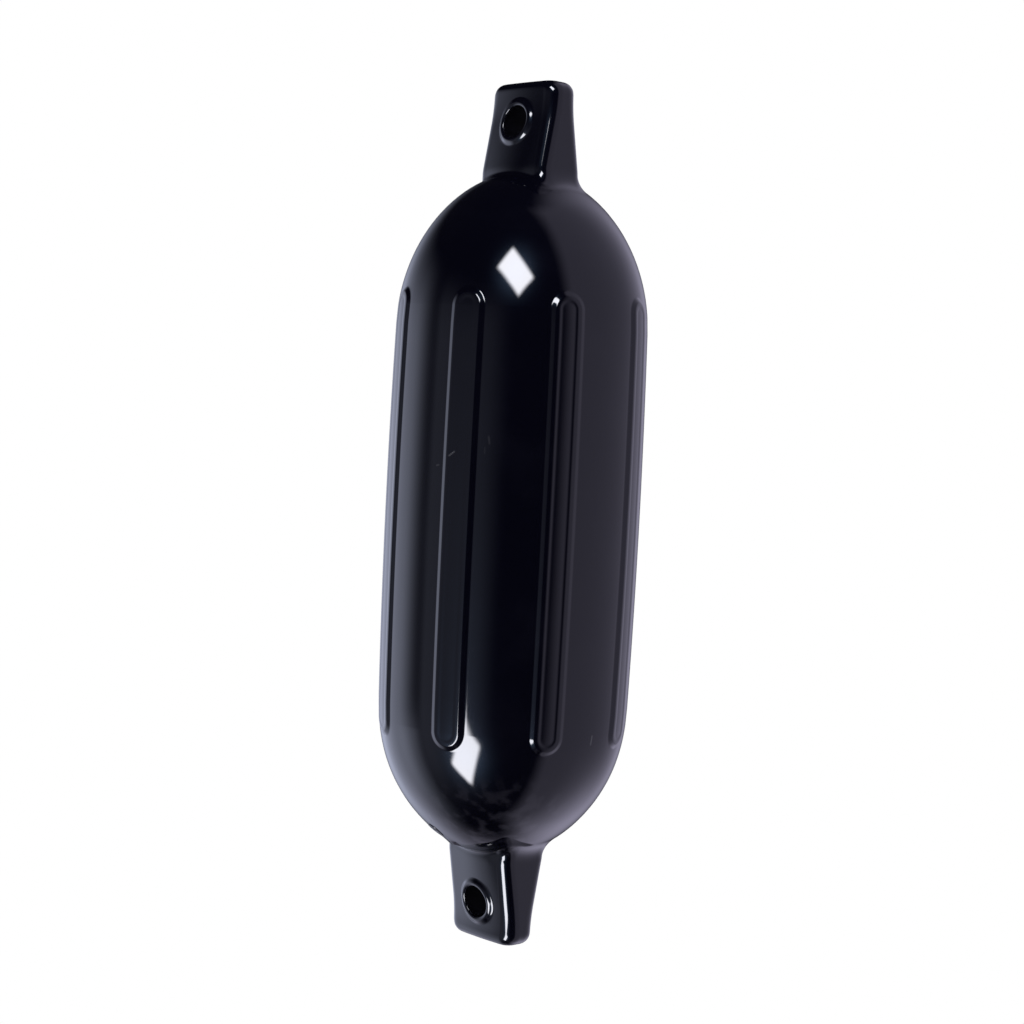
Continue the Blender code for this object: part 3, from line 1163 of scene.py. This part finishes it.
@dataclass
class NeedleValve:
    """The soft bung pushed into the lower dome, with a needle hole in its crown."""

    skin: FenderSkin
    flange_radius: float = 0.0062
    flange_under: float = -0.0010
    crown: float = 0.0001
    edge_round: float = 0.00015
    stem_radius: float = 0.0037
    stem_depth: float = 0.0026
    mouth_radius: float = 0.0023
    hole_radius: float = 0.0006
    mouth_depth: float = 0.0020
    hole_depth: float = 0.0024
    arc_steps: int = 6
    steps: int = 72

    def profile(self) -> Profile:
        """Half of the bung's section.

        Returns:
            (radius, height) points from the bottom of the needle hole out to the end of the stem.
        """
        edge = self.flange_radius - self.edge_round
        arc = quarter_arc(self.arc_steps)
        points = [(self.hole_radius, -self.hole_depth)]
        for sine, sag in arc:
            radius = mix(self.hole_radius, self.mouth_radius, sag)
            points.append((radius, mix(-self.mouth_depth, self.crown, sine)))
        for sine, sag in arc:
            points.append((edge + self.edge_round * sine, self.crown - self.edge_round * sag))
        points.append((self.flange_radius, self.flange_under))
        points.append((self.stem_radius, self.flange_under))
        points.append((self.stem_radius, -self.stem_depth))
        return points

    def build_mesh(self, name: str) -> bpy.types.Mesh:
        """The bung's closed mesh.

        Args:
            name: Name of the mesh.

        Returns:
            The mesh, in the row frame.
        """
        work = Patchwork()
        place = self.skin.valve_frame()
        turns = [2 * math.pi * step / self.steps for step in range(self.steps)]
        rings = []
        for radius, height in self.profile():
            spots = [Vector((radius * math.cos(turn), radius * math.sin(turn), height)) for turn in turns]
            rings.append([work.add(self.skin.placed(place @ spot)) for spot in spots])
        for inner, outer in zip(rings, rings[1:]):
            work.strip(outer, inner)
        work.face(*rings[0])
        work.face(*reversed(rings[-1]))
        return work.mesh(name)

    def build(self) -> bpy.types.Object:
        """The bung in its rubber, in place of the plain valve."""
        mesh = self.build_mesh("valve_bung")
        return add_piece("valve_bung", mesh, ValveRubber().build(), "needle_valve")


@dataclass(frozen=True)
class Softbox:
    """A bright four-sided lamp that only the gloss shows, with a glow round it.

    Two pairs of sides bound it. Each pair has the angle of the line across it and half its width.
    """

    turn: float
    lift: float
    sides: tuple[tuple[float, float], tuple[float, float]]
    level: float
    glow: float
    glow_focus: float


@dataclass(frozen=True)
class Lamp:
    """A large square lamp that faces the fender, and that the gloss doesn't show."""

    name: str
    turn: float
    lift: float
    size: float
    power: float


@dataclass(frozen=True)
class WindowStep:
    """A step in the window's brightness between two turns."""

    start: float
    end: float
    level: float


@dataclass
class Studio:
    """Pale floor, white background and soft plain light.

    Turns run from the camera's side to its right and lifts from the horizon up, both in degrees.
    Where a wall, window or patch begins or ends, a pair gives where it fades in or out.
    """

    facing: float
    lowest: float
    floor_gap: float = 0.35
    floor_half: float = 6.0
    floor_colour: tuple = (0.86, 0.86, 0.86, 1.0)
    floor_fade: tuple = (0.75, 1.25)

    wall_tint: tuple = (0.930, 0.888, 1.182)
    window_tint: tuple = (0.870, 0.930, 1.200)
    lamp_tint: tuple = (0.872, 0.870, 0.930)
    glow_tint: tuple = (0.600, 0.930, 1.500)
    dark_level: float = 0.009
    plain_level: float = 0.55

    wall_turn: float = 42.0
    wall_edge: tuple = (-7.0, 7.0)
    wall_level: float = 0.54
    back_turns: tuple = (105.0, 150.0)
    back_level: float = 0.22
    foot_turns: tuple = (70.0, 115.0)
    foot_lifts: tuple = (-15.0, -60.0)
    foot_level: float = 0.55
    rear_turn: float = 178.0
    rear_edge: tuple = (0.0, -28.0)
    floor_away: tuple = (0.10, 0.50)
    floor_lifts: tuple = (-20.0, -45.0)
    floor_level: float = 0.34
    clutter: Lumps = Lumps(0.16, 3.0)
    clutter_cut: tuple = (0.46, 0.66)
    clutter_lifts: tuple = (-40.0, -60.0)
    clutter_level: float = 0.16

    window_steps: tuple = (
        WindowStep(-5.0, -35.0, 0.18),
        WindowStep(-58.0, -72.0, 0.08),
        WindowStep(-77.0, -85.0, -0.14),
        WindowStep(-86.0, -112.0, 0.92),
    )
    window_foot: tuple = (-74.0, -16.0)
    window_head: tuple = (31.0, -8.0)
    window_level: float = 1.35
    patch_start: tuple = (-78.0, -92.0)
    patch_end: tuple = (-122.0, -98.0)
    patch_lifts: tuple = (-9.0, -20.0)
    patch_level: float = 0.45

    softness: float = 0.035
    front: tuple = (0.0, 0.1)
    softboxes: tuple = (
        Softbox(-9.8, 36.5, ((-40.5, 0.234), (49.5, 0.148)), 25.0, 1.2, 45.0),
        Softbox(-35.0, -31.4, ((-29.0, 0.166), (43.0, 0.238)), 22.3, 1.2, 30.0),
    )
    lamp_distance: float = 2.2
    lamps: tuple = (
        Lamp("key_lamp", -12.0, 40.0, 1.2, 28.0),
        Lamp("fill_lamp", 75.0, 25.0, 1.6, 16.0),
    )

    def towards(self, turn: float, lift: float) -> Vector:
        """Direction by a turn from the camera's side, to its right, and a lift."""
        return bearing(self.facing + turn, lift)

    def softbox_colour(self, graph: Graph, direction: Signal, box: Softbox) -> Signal:
        """Light that a softbox and the glow round it add in a direction.

        Args:
            graph: The world's graph.
            direction: The direction looked in.
            box: The softbox.

        Returns:
            The colour of that light.
        """
        out = self.towards(box.turn, box.lift)
        side = UP.cross(out).normalized()
        up = out.cross(side)
        forward = graph.along(out, direction)
        inside = forward.rise(*self.front)
        for angle, half in box.sides:
            across = side * math.cos(math.radians(angle)) + up * math.sin(math.radians(angle))
            reach = abs(graph.along(across, direction))
            inside = inside * reach.rise(half + self.softness, half - self.softness)
        glow = ((forward - 1.0) * box.glow_focus).math("EXPONENT") * box.glow
        lamp = graph.tinted(self.lamp_tint, inside * box.level)
        return graph.total(lamp, graph.tinted(self.glow_tint, glow))

    def surroundings(self, graph: Graph, direction: Signal) -> Signal:
        """The walls round the fender: dark by the camera, a wall right, a window side left.

        Args:
            graph: The world's graph.
            direction: The direction looked in.

        Returns:
            Their colour.
        """
        right = graph.along(self.towards(90.0, 0.0), direction)
        turn = right.math("ARCTAN2", graph.along(self.towards(0.0, 0.0), direction))
        turn = turn * math.degrees(1.0)
        lift = graph.along(UP, direction).math("ARCSINE") * math.degrees(1.0)
        level = lift.math("RADIANS").math("COSINE")
        behind = ((abs(turn) - self.rear_turn) * level).rise(*self.rear_edge)
        foot = lift.rise(*self.foot_lifts) * turn.rise(*self.foot_turns) * self.foot_level
        back = turn.rise(*self.back_turns) * self.back_level
        wall = ((turn - self.wall_turn) * level).rise(*self.wall_edge)
        wall = wall * (foot + back + self.wall_level) * behind + self.dark_level
        away = graph.along(self.towards(180.0, 0.0), direction).rise(*self.floor_away)
        wall = wall + away * lift.rise(*self.floor_lifts) * self.floor_level
        clutter = graph.noise(direction, self.clutter).rise(*self.clutter_cut)
        wall = wall + clutter * lift.rise(*self.clutter_lifts) * self.clutter_level
        steps = sum(turn.rise(step.start, step.end) * step.level for step in self.window_steps)
        patch = turn.rise(*self.patch_start) * turn.rise(*self.patch_end)
        steps = steps + patch * lift.rise(*self.patch_lifts) * self.patch_level
        band = lift.rise(*self.window_foot) * lift.rise(*self.window_head)
        window = steps * band * behind * self.window_level
        colour = graph.total(graph.tinted(self.wall_tint, wall), graph.tinted(self.window_tint, window))
        for box in self.softboxes:
            colour = graph.total(colour, self.softbox_colour(graph, direction, box))
        return colour

    def build_world(self) -> None:
        """Sets the world: white where it is seen, plain light on matt things, walls in the gloss."""
        world = bpy.data.worlds.new("studio")
        bpy.context.scene.world = world
        world.use_nodes = True
        graph = Graph(world.node_tree)
        studio = self.surroundings(graph, graph.node("ShaderNodeTexCoord", output="Generated"))
        plain = (self.plain_level,) * 3 + (1.0,)
        colour = graph.blend(plain, studio, graph.ray(RayKind.GLOSSY))
        colour = graph.blend(colour, WHITE, graph.seen())
        shader = graph.node("ShaderNodeBackground", None, {"Color": colour, "Strength": 1.0})
        graph.node("ShaderNodeOutputWorld", None, {"Surface": shader})

    def build_floor(self) -> bpy.types.Object:
        """A wide pale floor below the hanging fender, which fades into the white background.

        Returns:
            The floor.
        """
        half = self.floor_half
        height = self.lowest - self.floor_gap
        work = Patchwork()
        corners = [(-half, -half), (half, -half), (half, half), (-half, half)]
        work.face(*[work.add(Vector((x, y, height))) for x, y in corners])
        floor = show("floor", work.mesh("floor"))
        made, graph = new_finish("pale_floor")
        place = graph.node("ShaderNodeTexCoord", output="Object")
        away = graph.node("ShaderNodeVectorMath", {"operation": "LENGTH"}, {0: place}, "Value")
        matt = graph.node("ShaderNodeBsdfDiffuse", None, {"Color": self.floor_colour})
        white = graph.node("ShaderNodeEmission", None, {"Strength": 1.0})
        above = graph.choice(graph.seen() * away.rise(*self.floor_fade), matt, white)
        below = graph.node("ShaderNodeNewGeometry", output="Backfacing")
        shader = graph.choice(below, above, graph.node("ShaderNodeBsdfTransparent"))
        graph.node("ShaderNodeOutputMaterial", None, {"Surface": shader})
        floor.data.materials.append(made)
        floor.visible_glossy = False
        return floor

    def build_lamp(self, lamp: Lamp) -> bpy.types.Object:
        """Hangs a lamp.

        Args:
            lamp: Its place, size and power.

        Returns:
            The lamp's object.
        """
        data = bpy.data.lights.new(lamp.name, "AREA")
        data.size = lamp.size
        data.energy = lamp.power
        made = show(lamp.name, data)
        out = self.towards(lamp.turn, lamp.lift)
        made.location = out * self.lamp_distance
        made.rotation_euler = out.to_track_quat("Z", "Y").to_euler()
        made.visible_glossy = False
        return made

    def build(self) -> None:
        """Builds the world, the floor and the lamps."""
        self.build_world()
        self.build_floor()
        for lamp in self.lamps:
            self.build_lamp(lamp)


@dataclass
class PhotoCamera:
    """The camera that looks at the fender as the photograph does."""

    target: Vector
    turn: float = 47.20
    lift: float = 3.55
    distance: float = 1.362
    focal_pixels: float = 2095.8
    lean: float = 2.92
    middle_x: float = 512.4
    middle_y: float = 515.7
    sensor: float = 36.0
    near: float = 0.01
    far: float = 50.0

    def build(self) -> bpy.types.Object:
        """The camera, set as the scene's own.

        Returns:
            The camera.
        """
        data = bpy.data.cameras.new("photo_camera")
        data.sensor_width = self.sensor
        data.lens = self.focal_pixels * self.sensor / PICTURE_SIZE
        data.shift_x = (PICTURE_SIZE / 2 - self.middle_x) / PICTURE_SIZE
        data.shift_y = (self.middle_y - PICTURE_SIZE / 2) / PICTURE_SIZE
        data.clip_start = self.near
        data.clip_end = self.far
        camera = show("photo_camera", data)
        back = bearing(self.turn, self.lift)
        right = bearing(self.turn + 90.0, 0.0)
        up = back.cross(right)
        lean = math.radians(self.lean)
        tilted_right = right * math.cos(lean) + up * math.sin(lean)
        tilted_up = up * math.cos(lean) - right * math.sin(lean)
        place = Matrix((tilted_right, tilted_up, back)).transposed().to_4x4()
        place.translation = self.target + back * self.distance
        camera.matrix_world = place
        bpy.context.scene.camera = camera
        return camera


def main() -> None:
    """Builds every piece."""
    logging.basicConfig(level=logging.INFO, format="%(name)s %(message)s")
    bpy.context.scene.view_settings.view_transform = "Standard"
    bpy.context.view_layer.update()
    low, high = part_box("fender_body")
    middle = (low.z + high.z) / 2
    skin = FenderSkin(middle=middle, tip_height=(high.z - low.z) / 2)
    skin.build()
    NeedleValve(skin).build()
    camera = PhotoCamera(target=Vector((0.0, 0.0, middle)))
    camera.build()
    Studio(facing=camera.turn, lowest=low.z).build()


if __name__ == "__main__":
    main()
